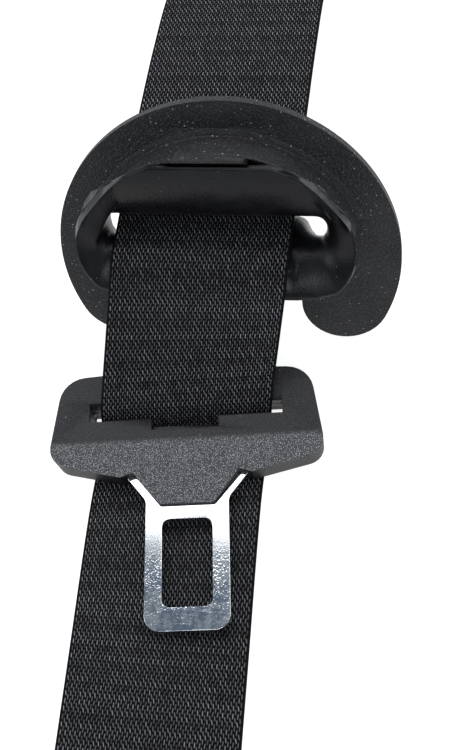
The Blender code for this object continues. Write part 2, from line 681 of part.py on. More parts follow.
def smooth_line(points, spacing):
    """Points on a smooth curve through the given ones, about a spacing apart."""
    line = []
    ends = [2 * points[0] - points[1]] + points + [2 * points[-1] - points[-2]]
    for before, a, b, after in zip(ends, ends[1:], ends[2:], ends[3:]):
        length = (b - a).xyz.length
        slope_a = (b - before) * length / (b - before).xyz.length
        slope_b = (after - a) * length / (after - a).xyz.length
        steps = max(2, round(length / spacing))
        for i in range(steps):
            t = i / steps
            line.append(
                a * (2 * t**3 - 3 * t**2 + 1)
                + slope_a * (t**3 - 2 * t**2 + t)
                + b * (3 * t**2 - 2 * t**3)
                + slope_b * (t**3 - t**2)
            )
    return line + [points[-1]]


def make_webbing(group, look):
    """The webbing: a flat grid laid along its route, with a wall of one thickness."""
    line = smooth_line(belt_route(), ROUTE_SPACING)
    mesh = bpy.data.meshes.new("webbing")
    bm = bmesh.new()
    bmesh.ops.create_grid(bm, x_segments=WEBBING_CELLS, y_segments=len(line) - 1, size=0.5)
    for vertex in bm.verts:
        across = vertex.co.x * WEBBING_WIDTH
        place = line[round((vertex.co.y + 0.5) * (len(line) - 1))]
        z = max(place.z, WEBBING_THICKNESS / 2)
        vertex.co = (place.x + across, place.y + across * math.tan(place.w), z)
    bm.to_mesh(mesh)
    bm.free()
    belt = add("webbing", mesh, group, None, look)
    wall = belt.modifiers.new("wall", "SOLIDIFY")
    wall.thickness = WEBBING_THICKNESS
    wall.offset = 0.0
    wall.use_even_offset = True


def pivot_at(name, group, place, turn):
    pivot = bpy.data.objects.new(name, None)
    pivot.empty_display_size = 0.01
    pivot.location = place
    pivot.rotation_euler = turn
    group.objects.link(pivot)
    return pivot


def main():
    for thing in list(bpy.data.objects):
        bpy.data.objects.remove(thing, do_unlink=True)
    part = bpy.data.collections.new("seat_belt_guide_and_tongue")
    cutters = bpy.data.collections.new("cutters")
    bpy.context.scene.collection.children.link(part)
    bpy.context.scene.collection.children.link(cutters)

    weave = material("webbing_black", (0.018, 0.018, 0.020), 0.75)
    matte = material("guide_matte_black", (0.022, 0.022, 0.024), 0.60)
    gloss = material("loop_gloss_black", (0.012, 0.012, 0.014), 0.25)
    moulded = material("grip_dark_grey", (0.040, 0.041, 0.045), 0.55)
    steel = material("blade_bright_steel", (0.72, 0.73, 0.75), 0.16, 1.0)

    make_webbing(part, weave)

    guide_pivot = pivot_at("guide_pivot", part, (GUIDE_X, *GUIDE_AXIS), (GUIDE_LEAN, 0.0, 0.0))
    guide_frame = (guide_pivot, Vector((0.0, *SEAT_CENTRE)))
    make_plate(part, cutters, guide_frame, matte)
    make_loop(part, guide_frame, gloss)

    tongue_pivot = pivot_at("tongue_pivot", part, (TONGUE_X, TONGUE_Y, TONGUE_PIVOT_Z), (0.0, 0.0, TONGUE_YAW))
    tongue_frame = (tongue_pivot, Vector((0.0, 0.0, GRIP_THICKNESS / 2)))
    make_blade(part, tongue_frame, steel)
    make_grip(part, cutters, tongue_frame, moulded)


main()
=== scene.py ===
import math

import bmesh
import bpy
from mathutils import Matrix, Vector


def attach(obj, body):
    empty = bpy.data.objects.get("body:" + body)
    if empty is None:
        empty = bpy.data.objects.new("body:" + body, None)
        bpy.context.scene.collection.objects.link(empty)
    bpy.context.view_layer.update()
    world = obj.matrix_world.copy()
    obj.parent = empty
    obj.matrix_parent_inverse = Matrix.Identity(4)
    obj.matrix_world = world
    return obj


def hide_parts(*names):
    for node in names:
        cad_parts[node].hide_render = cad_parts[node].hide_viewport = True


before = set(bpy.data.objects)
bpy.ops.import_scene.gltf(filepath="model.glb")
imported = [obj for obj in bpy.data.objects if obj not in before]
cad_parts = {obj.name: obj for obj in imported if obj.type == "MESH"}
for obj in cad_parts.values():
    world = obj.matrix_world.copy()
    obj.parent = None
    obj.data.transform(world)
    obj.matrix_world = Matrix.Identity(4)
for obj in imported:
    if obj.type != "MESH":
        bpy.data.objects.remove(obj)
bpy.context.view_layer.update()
print("frame loaded")


def addObject(name, data):
    thing = bpy.data.objects.new(name, data)
    bpy.context.scene.collection.objects.link(thing)
    return thing


# camera, at the photograph's angle and rolled as it was held
eye = {
    "place": (0.0390, -0.1453, 0.2616),
    "right": (0.9895, 0.08945, -0.11353),
    "up": (-0.0388, 0.92105, 0.38751),
    "lens": 48.0,
    "sensor": 36.0,
    "nearest": 0.01,
}


def placeCamera():
    right = Vector(eye["right"]).normalized()
    back = right.cross(Vector(eye["up"])).normalized()
    up = back.cross(right)
    data = bpy.data.cameras.new("camera")
    data.lens = eye["lens"]
    data.sensor_width = eye["sensor"]
    data.clip_start = eye["nearest"]
    camera = addObject("camera", data)
    turn = Matrix((right, up, back)).transposed().to_4x4()
    camera.matrix_world = Matrix.Translation(eye["place"]) @ turn
    bpy.context.scene.camera = camera


placeCamera()
print("camera placed")


# studio: a lit white table under a dim bluish sky, and soft boxes that do most of the lighting
studio = {
    "floorSize": 6.0,
    "floorDrop": 0.0002,
    "floorColour": (0.40, 0.40, 0.40, 1.0),
    "floorRoughness": 0.9,
    "glowColour": (1.0, 1.0, 1.0, 1.0),
    "glow": 0.88,
    "skyColour": (0.72, 0.86, 1.0, 1.0),
    "skyStrength": 0.26,
}
softLights = {
    "keyBox": {
        "place": (-0.10, 0.705, 1.00),
        "aim": (-0.10, 0.705, 0.0),
        "size": (1.4, 1.1),
        "power": 15.0,
    },
    "frontBox": {
        "place": (0.10, -0.90, 1.10),
        "aim": (0.0, -0.05, 0.02),
        "size": (0.6, 0.6),
        "power": 4.0,
    },
    "leftFill": {
        "place": (-1.1, -0.25, 0.70),
        "aim": (0.0, -0.02, 0.02),
        "size": (0.5, 0.9),
        "power": 3.6,
    },
    "rightRim": {
        "place": (1.1, 0.10, 0.60),
        "aim": (0.0, 0.0, 0.03),
        "size": (0.5, 0.9),
        "power": 3.0,
    },
}


def layFloor():
    mesh = bpy.data.meshes.new("floor")
    bm = bmesh.new()
    bmesh.ops.create_grid(bm, x_segments=1, y_segments=1, size=studio["floorSize"] / 2)
    bm.to_mesh(mesh)
    bm.free()
    mesh.transform(Matrix.Translation((0.0, 0.0, -studio["floorDrop"])))
    floor = addObject("floor", mesh)
    paint = bpy.data.materials.new("floorPaint")
    paint.use_nodes = True
    shader = paint.node_tree.nodes["Principled BSDF"]
    shader.inputs["Base Color"].default_value = studio["floorColour"]
    shader.inputs["Roughness"].default_value = studio["floorRoughness"]
    shader.inputs["Emission Color"].default_value = studio["glowColour"]
    shader.inputs["Emission Strength"].default_value = studio["glow"]
    mesh.materials.append(paint)


def hangLights():
    world = bpy.data.worlds.new("sky")
    bpy.context.scene.world = world
    world.use_nodes = True
    sky = world.node_tree.nodes["Background"]
    sky.inputs["Color"].default_value = studio["skyColour"]
    sky.inputs["Strength"].default_value = studio["skyStrength"]
    for name, box in softLights.items():
        data = bpy.data.lights.new(name, "AREA")
        data.shape = "RECTANGLE"
        data.size, data.size_y = box["size"]
        data.energy = box["power"]
        away = Vector(box["place"]) - Vector(box["aim"])
        turn = away.to_track_quat("Z", "Y").to_matrix().to_4x4()
        addObject(name, data).matrix_world = Matrix.Translation(box["place"]) @ turn


layFloor()
hangLights()
bpy.context.scene.view_settings.view_transform = "Standard"
print("studio ready")


# small helpers for node trees
def setSocket(tree, socket, value):
    if isinstance(value, bpy.types.NodeSocket):
        tree.links.new(value, socket)
    else:
        socket.default_value = value


def wire(tree, kind, inputs=None, **settings):
    node = tree.nodes.new(kind)
    for key, value in settings.items():
        setattr(node, key, value)
    for key, value in (inputs or {}).items():
        setSocket(tree, node.inputs[key], value)
    return node


def calc(tree, operation, a, b):
    return wire(tree, "ShaderNodeMath", {0: a, 1: b}, operation=operation).outputs[0]


def ramp(tree, value, low, high):
    made = wire(tree, "ShaderNodeMapRange", {"Value": value, "From Min": low, "From Max": high})
    made.interpolation_type = "SMOOTHSTEP"
    return made.outputs["Result"]


def vectorMath(tree, operation, a, b):
    return wire(tree, "ShaderNodeVectorMath", {0: a, 1: b}, operation=operation).outputs[0]


def spin(tree, vector, angle):
    turned = wire(tree, "ShaderNodeVectorRotate", {"Vector": vector, "Angle": angle})
    turned.rotation_type = "Z_AXIS"
    return turned.outputs[0]


def noise(tree, place, scale, detail, roughness=0.5):
    inputs = {"Vector": place, "Scale": scale, "Detail": detail, "Roughness": roughness}
    return wire(tree, "ShaderNodeTexNoise", inputs).outputs["Fac"]


def attribute(tree, name):
    return wire(tree, "ShaderNodeAttribute", attribute_name=name).outputs["Fac"]


def blendColours(tree, factor, a, b):
    made = wire(tree, "ShaderNodeMix", data_type="RGBA")
    for key, kind, value in (("Factor", "VALUE", factor), ("A", "RGBA", a), ("B", "RGBA", b)):
        socket = next(s for s in made.inputs if s.name == key and s.type == kind)
        setSocket(tree, socket, value)
    return next(s for s in made.outputs if s.type == "RGBA")


def startGroup(name, inputs, outputs):
    tree = bpy.data.node_groups.new(name, "ShaderNodeTree")
    for label, kind, value in inputs:
        socket = tree.interface.new_socket(label, in_out="INPUT", socket_type=kind)
        socket.default_value = value
    for label, kind in outputs:
        tree.interface.new_socket(label, in_out="OUTPUT", socket_type=kind)
    return tree, tree.nodes.new("NodeGroupInput").outputs, tree.nodes.new("NodeGroupOutput").inputs


# fine moulded grain: a mask of tiny grains and the height that they stand up
grainShape = {"edge": 0.65, "top": 0.05, "softShare": 0.6, "maskFrom": 0.55, "maskTo": 1.25}


def makeGrainGroup():
    tree, given, out = startGroup(
        "mouldedGrain",
        [("Place", "NodeSocketVector", (0.0, 0.0, 0.0)), ("Grain Size", "NodeSocketFloat", 0.0004)],
        [("Grains", "NodeSocketFloat"), ("Height", "NodeSocketFloat")],
    )
    scale = calc(tree, "DIVIDE", 1.0, given["Grain Size"])
    cells = wire(tree, "ShaderNodeTexVoronoi", {"Vector": given["Place"], "Scale": scale})
    dome = ramp(tree, cells.outputs["Distance"], grainShape["edge"], grainShape["top"])
    soft = noise(tree, given["Place"], scale, 2.0)
    height = calc(tree, "ADD", dome, calc(tree, "MULTIPLY", soft, grainShape["softShare"]))
    mask = ramp(tree, height, grainShape["maskFrom"], grainShape["maskTo"])
    tree.links.new(mask, out["Grains"])
    tree.links.new(height, out["Height"])
    return tree


# dust: sparse pale specks that settled on the plastic, and a cloudy film
dustShape = {"smallest": 0.4, "fewest": 0.02, "cloudScale": 90.0, "filmFrom": 0.42, "filmTo": 0.75}


def makeDustGroup():
    tree, given, out = startGroup(
        "dustSpecks",
        [
            ("Place", "NodeSocketVector", (0.0, 0.0, 0.0)),
            ("Spacing", "NodeSocketFloat", 0.0022),
            ("Speck Size", "NodeSocketFloat", 0.09),
            ("Amount", "NodeSocketFloat", 0.35),
        ],
        [("Specks", "NodeSocketFloat"), ("Film", "NodeSocketFloat")],
    )
    scale = calc(tree, "DIVIDE", 1.0, given["Spacing"])
    cells = wire(tree, "ShaderNodeTexVoronoi", {"Vector": given["Place"], "Scale": scale})
    pick = wire(tree, "ShaderNodeSeparateColor", {"Color": cells.outputs["Color"]})
    least = calc(tree, "SUBTRACT", 1.0, given["Amount"])
    chosen = ramp(tree, pick.outputs["Red"], least, 1.0)
    share = calc(tree, "ADD", chosen, dustShape["smallest"])
    radius = calc(tree, "MULTIPLY", given["Speck Size"], share)
    dot = calc(tree, "LESS_THAN", cells.outputs["Distance"], radius)
    kept = calc(tree, "GREATER_THAN", chosen, dustShape["fewest"])
    cloud = noise(tree, given["Place"], dustShape["cloudScale"], 4.0)
    film = ramp(tree, cloud, dustShape["filmFrom"], dustShape["filmTo"])
    tree.links.new(calc(tree, "MULTIPLY", dot, kept), out["Specks"])
    tree.links.new(film, out["Film"])
    return tree


# rubbed lines: long thin marks left by handling
lineShape = {"stretch": (60.0, 2600.0, 900.0), "from": 0.66, "to": 0.74}


def makeLineGroup():
    tree, given, out = startGroup(
        "rubbedLines",
        [("Place", "NodeSocketVector", (0.0, 0.0, 0.0)), ("Turn", "NodeSocketFloat", 0.4)],
        [("Lines", "NodeSocketFloat")],
    )
    turned = spin(tree, given["Place"], given["Turn"])
    stretched = vectorMath(tree, "MULTIPLY", turned, lineShape["stretch"])
    streaks = noise(tree, stretched, 1.0, 1.0)
    tree.links.new(ramp(tree, streaks, lineShape["from"], lineShape["to"]), out["Lines"])
    return tree


grainGroup = makeGrainGroup()
dustGroup = makeDustGroup()
lineGroup = makeLineGroup()


def useGroup(tree, group, **values):
    node = tree.nodes.new("ShaderNodeGroup")
    node.node_tree = group
    for key, value in values.items():
        setSocket(tree, node.inputs[key.replace("_", " ")], value)
    return node.outputs


def bumpFrom(tree, height, depth):
    return wire(tree, "ShaderNodeBump", {"Height": height, "Distance": depth}).outputs["Normal"]


def objectPlace(tree):
    return tree.nodes.new("ShaderNodeTexCoord").outputs["Object"]


def startMaterial(name, finish):
    made = bpy.data.materials.new(name)
    made.use_nodes = True
    shader = made.node_tree.nodes["Principled BSDF"]
    shader.inputs["Base Color"].default_value = (*finish["plain"], 1.0)
    shader.inputs["Roughness"].default_value = finish["roughness"]
    shader.inputs["Metallic"].default_value = finish["metallic"]
    shader.inputs["Specular IOR Level"].default_value = finish["specular"]
    return made, made.node_tree, shader


# matte plastic of the C shaped plate, with its dust
plateFinish = {
    "plain": (0.012, 0.012, 0.013),
    "roughness": 0.55,
    "metallic": 0.0,
    "specular": 0.36,
    "clean": (0.010, 0.010, 0.011, 1.0),
    "filmed": (0.021, 0.021, 0.023, 1.0),
    "grains": (0.036, 0.036, 0.039, 1.0),
    "specks": (0.32, 0.32, 0.34, 1.0),
    "grainSize": 0.00060,
    "grainDepth": 0.00012,
    "dust": {"Spacing": 0.0012, "Speck_Size": 0.11, "Amount": 0.75},
}


def makeGuideMatte():
    finish = plateFinish
    made, tree, shader = startMaterial("guideMatteBlack", finish)
    place = objectPlace(tree)
    grain = useGroup(tree, grainGroup, Place=place, Grain_Size=finish["grainSize"])
    dust = useGroup(tree, dustGroup, Place=place, **finish["dust"])
    base = blendColours(tree, dust["Film"], finish["clean"], finish["filmed"])
    grained = blendColours(tree, grain["Grains"], base, finish["grains"])
    specked = blendColours(tree, dust["Specks"], grained, finish["specks"])
    tree.links.new(specked, shader.inputs["Base Color"])
    normal = bumpFrom(tree, grain["Height"], finish["grainDepth"])
    tree.links.new(normal, shader.inputs["Normal"])
    return made


# satin plastic of the flared loop, with a painted highlight along its rim and edges
loopFinish = {
    "plain": (0.006, 0.006, 0.007),
    "roughness": 0.30,
    "metallic": 0.0,
    "specular": 0.26,
    "clean": (0.003, 0.003, 0.004, 1.0),
    "filmed": (0.010, 0.010, 0.011, 1.0),
    # colour of the painted highlight on the rim and edges
    "paintedLight": (0.085, 0.085, 0.088, 1.0),
    "rimHighlightPower": 3.0,
    "specks": (0.20, 0.20, 0.21, 1.0),
    "smooth": 0.27,
    "filmRougher": 0.16,
    "linesRougher": 0.15,
    "lineTurn": 0.5,
    "grainSize": 0.0006,
    "grainDepth": 0.00002,
    "dust": {"Spacing": 0.0015, "Speck_Size": 0.060, "Amount": 0.45},
}


def makeLoopSatin():
    finish = loopFinish
    made, tree, shader = startMaterial("loopGlossBlack", finish)
    place = objectPlace(tree)
    grain = useGroup(tree, grainGroup, Place=place, Grain_Size=finish["grainSize"])
    dust = useGroup(tree, dustGroup, Place=place, **finish["dust"])
    lines = useGroup(tree, lineGroup, Place=place, Turn=finish["lineTurn"])
    base = blendColours(tree, dust["Film"], finish["clean"], finish["filmed"])
    # painted highlight: the marked rim and edges of the flare are made paler
    paintedRimHighlight = calc(tree, "POWER", attribute(tree, "paintedRimHighlight"), finish["rimHighlightPower"])
    paintedLight = blendColours(tree, paintedRimHighlight, base, finish["paintedLight"])
    specked = blendColours(tree, dust["Specks"], paintedLight, finish["specks"])
    tree.links.new(specked, shader.inputs["Base Color"])
    filmRough = calc(tree, "MULTIPLY", dust["Film"], finish["filmRougher"])
    lineRough = calc(tree, "MULTIPLY", lines["Lines"], finish["linesRougher"])
    rough = calc(tree, "ADD", calc(tree, "ADD", finish["smooth"], filmRough), lineRough)
    tree.links.new(rough, shader.inputs["Roughness"])
    normal = bumpFrom(tree, grain["Height"], finish["grainDepth"])
    tree.links.new(normal, shader.inputs["Normal"])
    return made


tongue = {"pivot": (-0.0100, -0.0520, 0.0), "yaw": math.radians(6.0), "ridgeDown": -0.0085}


def tonguePlace(tree):
    # the tongue's own directions, x along its slot, and the place along its blade
    moved = vectorMath(tree, "SUBTRACT", objectPlace(tree), tongue["pivot"])
    place = spin(tree, moved, -tongue["yaw"])
    return place, wire(tree, "ShaderNodeSeparateXYZ", {0: place}).outputs["Y"]


# grained plastic of the grip: dull above the ridge; below it coarser grain with painted light and
# painted glints, as the slope faces the front lights; painted shade on its steep walls
gripFinish = {
    "plain": (0.035, 0.036, 0.040),
    "roughness": 0.5,
    "metallic": 0.0,
    "specular": 0.32,
    "above": (0.010, 0.010, 0.012, 1.0),
    "aboveGrains": (0.054, 0.054, 0.060, 1.0),
    # the slope's coarse grain is real; its lighter colour is painted light and its pale grains are
    # painted glints
    "below": (0.052, 0.053, 0.057, 1.0),
    "belowGrains": (0.480, 0.484, 0.494, 1.0),
    # painted shade on the steep walls
    "wallShade": (0.003, 0.003, 0.004, 1.0),
    "specks": (0.24, 0.24, 0.25, 1.0),
    "aboveSize": 0.00034,
    "aboveHeight": 0.35,
    "belowSize": 0.00032,
    "grainDepth": 0.00010,
    "changeFrom": 0.0012,
    "changeTo": -0.0006,
    "dust": {"Spacing": 0.0022, "Speck_Size": 0.06, "Amount": 0.35},
}


def makeGripGrained():
    finish = gripFinish
    made, tree, shader = startMaterial("gripDarkGrey", finish)
    place, down = tonguePlace(tree)
    ridge = tongue["ridgeDown"]
    slope = ramp(tree, down, ridge + finish["changeFrom"], ridge + finish["changeTo"])
    dull = useGroup(tree, grainGroup, Place=place, Grain_Size=finish["aboveSize"])
    bright = useGroup(tree, grainGroup, Place=place, Grain_Size=finish["belowSize"])
    dust = useGroup(tree, dustGroup, Place=place, **finish["dust"])
    flat = blendColours(tree, dull["Grains"], finish["above"], finish["aboveGrains"])
    glitter = blendColours(tree, bright["Grains"], finish["below"], finish["belowGrains"])
    # below the ridge the slope takes the painted light and painted glints
    lit = blendColours(tree, slope, flat, glitter)
    base = blendColours(tree, attribute(tree, "paintedWallShade"), lit, finish["wallShade"])
    specked = blendColours(tree, dust["Specks"], base, finish["specks"])
    tree.links.new(specked, shader.inputs["Base Color"])
    low = calc(tree, "MULTIPLY", dull["Height"], finish["aboveHeight"])
    height = calc(tree, "ADD", low, calc(tree, "MULTIPLY", bright["Height"], slope))
    normal = bumpFrom(tree, height, finish["grainDepth"])
    tree.links.new(normal, shader.inputs["Normal"])
    return made


# bright plated steel, with a painted bluish reflection tint in patches towards the tip, and painted
# shade, black and dull, where it shows in the grip's slot
bladeFinish = {
    "plain": (0.80, 0.82, 0.86),
    "roughness": 0.16,
    "metallic": 1.0,
    "specular": 0.5,
    "steel": (0.86, 0.87, 0.89, 1.0),
    "tipReflectionTint": (0.42, 0.47, 0.56, 1.0),
    "slotShade": (0.010, 0.010, 0.011, 1.0),
    "tipFrom": -0.034,
    "tipTo": -0.046,
    "slotShadeFrom": -0.0150,
    "slotShadeTo": -0.0120,
    "tintPatchScale": 420.0,
    "tintPatchFrom": 0.42,
    "tintPatchTo": 0.62,
    "smooth": 0.10,
    "linesRougher": 0.10,
    "slotShadeRougher": 0.4,
    "lineTurn": 0.1,
    "pitSize": 0.00060,
    "pitDepth": 0.000012,
    "pitsClean": 0.05,
    "pitsWorn": 0.85,
}


def makeBladeSteel():
    finish = bladeFinish
    made, tree, shader = startMaterial("bladeBrightSteel", finish)
    place, down = tonguePlace(tree)
    # towards the tip: a painted bluish reflection tint in patches, and deeper pits
    paintedLight = ramp(tree, down, finish["tipFrom"], finish["tipTo"])
    # painted shade: towards the head, where it shows in the grip's slot, the steel is made black,
    # not metallic and rougher
    slotShaded = ramp(tree, down, finish["slotShadeFrom"], finish["slotShadeTo"])
    tintNoise = noise(tree, place, finish["tintPatchScale"], 5.0, 0.65)
    patches = ramp(tree, tintNoise, finish["tintPatchFrom"], finish["tintPatchTo"])
    tipTintShare = calc(tree, "MULTIPLY", patches, paintedLight)
    tint = blendColours(tree, tipTintShare, finish["steel"], finish["tipReflectionTint"])
    colour = blendColours(tree, slotShaded, tint, finish["slotShade"])
    tree.links.new(colour, shader.inputs["Base Color"])
    tree.links.new(calc(tree, "SUBTRACT", 1.0, slotShaded), shader.inputs["Metallic"])
    lines = useGroup(tree, lineGroup, Place=place, Turn=finish["lineTurn"])
    lineRough = calc(tree, "MULTIPLY", lines["Lines"], finish["linesRougher"])
    slotShadeRough = calc(tree, "MULTIPLY", slotShaded, finish["slotShadeRougher"])
    rough = calc(tree, "ADD", calc(tree, "ADD", finish["smooth"], lineRough), slotShadeRough)
    tree.links.new(rough, shader.inputs["Roughness"])
    pits = useGroup(tree, grainGroup, Place=place, Grain_Size=finish["pitSize"])
    deeper = calc(tree, "MULTIPLY", paintedLight, finish["pitsWorn"])
    depth = calc(tree, "ADD", deeper, finish["pitsClean"])
    height = calc(tree, "MULTIPLY", pits["Height"], depth)
    tree.links.new(bumpFrom(tree, height, finish["pitDepth"]), shader.inputs["Normal"])
    return made


# black polyester yarn: each float has its own tint, a painted highlight along its crest with its
# flanks left dark, and filaments along it
yarnFinish = {
    "plain": (0.020, 0.020, 0.022),
    "roughness": 0.42,
    "metallic": 0.0,
    "specular": 0.25,
    "dark": (0.006, 0.006, 0.007, 1.0),
    "pale": (0.420, 0.420, 0.450, 1.0),
    "crestHighlightPower": 1.6,
    "tintShare": 0.9,
    "leastTint": 0.12,
    "stretch": (9000.0, 700.0, 9000.0),
    "depth": 0.00004,
}


def makeYarn():
    finish = yarnFinish
    made, tree, shader = startMaterial("webbingYarn", finish)
    stretched = vectorMath(tree, "MULTIPLY", objectPlace(tree), finish["stretch"])
    filaments = noise(tree, stretched, 1.0, 1.0)
    # painted highlight: each float is paler towards its crest, by its own tint
    crest = calc(tree, "POWER", attribute(tree, "crest"), finish["crestHighlightPower"])
    tint = calc(tree, "MULTIPLY", attribute(tree, "tint"), finish["tintShare"])
    tone = calc(tree, "MULTIPLY", crest, calc(tree, "ADD", tint, finish["leastTint"]))
    colour = blendColours(tree, tone, finish["dark"], finish["pale"])
    tree.links.new(colour, shader.inputs["Base Color"])
    tree.links.new(bumpFrom(tree, filaments, finish["depth"]), shader.inputs["Normal"])
    return made


# the ground of the weave between the floats, near black as painted shade between them
groundFinish = {
    "plain": (0.008, 0.008, 0.009),
    "roughness": 0.8,
    "metallic": 0.0,
    "specular": 0.15,
    # painted shade between the floats
    "dark": (0.001, 0.001, 0.0012, 1.0),
    "pale": (0.004, 0.004, 0.0045, 1.0),
    "stretch": (60.0, 900.0, 1.0),
    "depth": 0.00008,
}


def makeGround():
    finish = groundFinish
    made, tree, shader = startMaterial("webbingGround", finish)
    uv = wire(tree, "ShaderNodeUVMap", uv_map="strap").outputs[0]
    threads = noise(tree, vectorMath(tree, "MULTIPLY", uv, finish["stretch"]), 1.0, 2.0)
    colour = blendColours(tree, threads, finish["dark"], finish["pale"])
    tree.links.new(colour, shader.inputs["Base Color"])
    tree.links.new(bumpFrom(tree, threads, finish["depth"]), shader.inputs["Normal"])
    return made


yarnBlack = makeYarn()
groundBlack = makeGround()


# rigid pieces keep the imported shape, apart from facets on the loop's wall, and are smoothed
rigidPieces = {
    "guidePlate": {
        "node": "guide_flange",
        "body": "guide",
        "slot": "guide_matte_black",
        "material": makeGuideMatte(),
        "sharp": 32.0,
    },
    "flaredLoop": {
        "node": "guide_loop",
        "body": "guide",
        "slot": "loop_gloss_black",
        "material": makeLoopSatin(),
        "sharp": 50.0,
        "calmRounds": 20,
    },
    "tongueGrip": {
        "node": "tongue_grip",
        "body": "tongue",
        "slot": "grip_dark_grey",
        "material": makeGripGrained(),
        "sharp": 28.0,
    },
    "steelBlade": {
        "node": "tongue_blade",
        "body": "tongue",
        "slot": "blade_bright_steel",
        "material": makeBladeSteel(),
        "sharp": 32.0,
    },
}
shading = {"mergeWithin": 1e-6, "wallFrom": 0.75, "wallSpan": 0.35, "normalWeight": 90}
print("materials made")


# the loop's outer wall: the guide's middle and lean, and how far up, out and outwards it lies
loopWall = {
    "centre": (0.0, -0.0129, 0.0241),
    "lean": math.radians(64.1),
    "above": 0.006,
    "before": 0.001,
    "turnedOut": 0.15,
    "edgeFrom": math.radians(60.0),
    "pull": 0.5,
}


def calmWall(bm, rounds):
    # the wall is evened out above the slot, and the rim and edges of the flare are marked for a
    # painted highlight
    up = Vector((0.0, math.cos(loopWall["lean"]), math.sin(loopWall["lean"])))
    out = Vector((0.0, -math.sin(loopWall["lean"]), math.cos(loopWall["lean"])))
    paintedRimHighlight = bm.verts.layers.float.new("paintedRimHighlight")
    bm.normal_update()

    def isOuter(vertex):
        place = vertex.co - Vector(loopWall["centre"])
        radial = (place - out * place.dot(out)).normalized()
        high, forward = place.dot(up) > loopWall["above"], place.dot(out) > loopWall["before"]
        return high and forward and vertex.normal.dot(radial) > loopWall["turnedOut"]

    def isSharp(vertex):
        return max(e.calc_face_angle(0.0) for e in vertex.link_edges) > loopWall["edgeFrom"]

    sharp = {v for v in bm.verts if isSharp(v)}
    outwards = {v for v in bm.verts if isOuter(v)}
    front = sharp - outwards
    rim = {v for v in sharp if any(e.other_vert(v) in front for e in v.link_edges)}
    for vertex in rim | front:
        vertex[paintedRimHighlight] = 1.0
    evened = [v for v in bm.verts if v in outwards and v not in rim]
    ways = {"use_axis_x": True, "use_axis_y": True, "use_axis_z": True}
    for _ in range(rounds):
        bmesh.ops.smooth_vert(bm, verts=evened, factor=loopWall["pull"], **ways)
    print("loop wall evened at", len(evened), "places")


def dressRigid(name, facts):
    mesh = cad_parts[facts["node"]].data.copy()
    bm = bmesh.new()
    bm.from_mesh(mesh)
    bmesh.ops.remove_doubles(bm, verts=bm.verts, dist=shading["mergeWithin"])
    if "calmRounds" in facts:
        calmWall(bm, facts["calmRounds"])
    bm.to_mesh(mesh)
    bm.free()
    piece = addObject(name, mesh)
    mesh.materials.clear()
    mesh.materials.append(facts["material"])
    mesh.shade_smooth()
    mesh.set_sharp_from_angle(angle=math.radians(facts["sharp"]))
    # steep faces get a share of painted shade, which the grip's material reads
    paintedWallShade = mesh.attributes.new("paintedWallShade", "FLOAT", "FACE")
    steep = [(shading["wallFrom"] - p.normal.z) / shading["wallSpan"] for p in mesh.polygons]
    paintedWallShade.data.foreach_set("value", [min(1.0, max(0.0, share)) for share in steep])
    weigh = piece.modifiers.new("normals", "WEIGHTED_NORMAL")
    weigh.keep_sharp = True
    weigh.weight = shading["normalWeight"]
    bpy.context.view_layer.update()
    evaluated = piece.evaluated_get(bpy.context.evaluated_depsgraph_get())
    settled = bpy.data.meshes.new_from_object(evaluated)
    piece.modifiers.remove(weigh)
    piece.data = settled
    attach(piece, facts["body"])
    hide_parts(facts["node"])


for pieceName, pieceFacts in rigidPieces.items():
    dressRigid(pieceName, pieceFacts)
print("rigid pieces dressed")


# webbing: its route repeats the solid's, as places of its middle line and the yaw of its width
strap = {
    "width": 0.0470,
    "thickness": 0.0012,
    "layX": -0.0117,
    "nearEnd": -0.158,
    "farEnd": 0.158,
    "crest": 0.0371,
    "spacing": 0.0008,
    "edgeRound": 0.00045,
    "edgeSteps": 5,
    "floatsSunk": 0.62,
}
guide = {"axis": (-0.01396, 0.01893), "seatRadius": 0.0171, "gap": 0.0003}
slot = {"y": -0.0520, "half": 0.0021, "low": 0.0015, "gripThickness": 0.0088}

# each place of the course has its drift to the right of the near end first
course = {
    "bendBack": 0.012,
    "yawBack": 0.026,
    # (drift, along, up) to the slot, in it and off its rear wall
    "toSlot": ((0.0006, -0.0115, 0.0), (0.0010, -0.0072, 0.0004), (0.0012, -0.0042, 0.0022)),
    "inSlot": ((0.0015, -0.0018, -0.0008), (0.0017, 0.0002, 0.0028)),
    "offSlot": ((0.0020, 0.0, 0.0010), (0.0024, 0.0042, 0.0042)),
    "rising": (0.35, 0.7),
    "barAngles": (135.0, 123.0, 111.0, 99.0, 89.0),
    "barDrift": 0.0053,
    "barDriftMore": 0.0011,
    # (drift, along, up) level behind the guide
    "level": ((0.0066, 0.0060, -0.0002), (0.0073, 0.0250, 0.0003), (0.0081, 0.0420, 0.0002)),
    # (drift, share of the way to the far end, up) down to the surface and settling on it
    "fall": (
        (0.0091, 0.37, -0.0010),
        (0.0102, 0.49, -0.0036),
        (0.0116, 0.61, -0.0110),
        (0.0128, 0.73, -0.0235),
    ),
    "settle": (
        (0.0137, 0.82, 0.0044),
        (0.0143, 0.89, 0.0004),
        (0.0147, 0.94, 0.0),
        (0.0152, 1.0, 0.0),
    ),
}


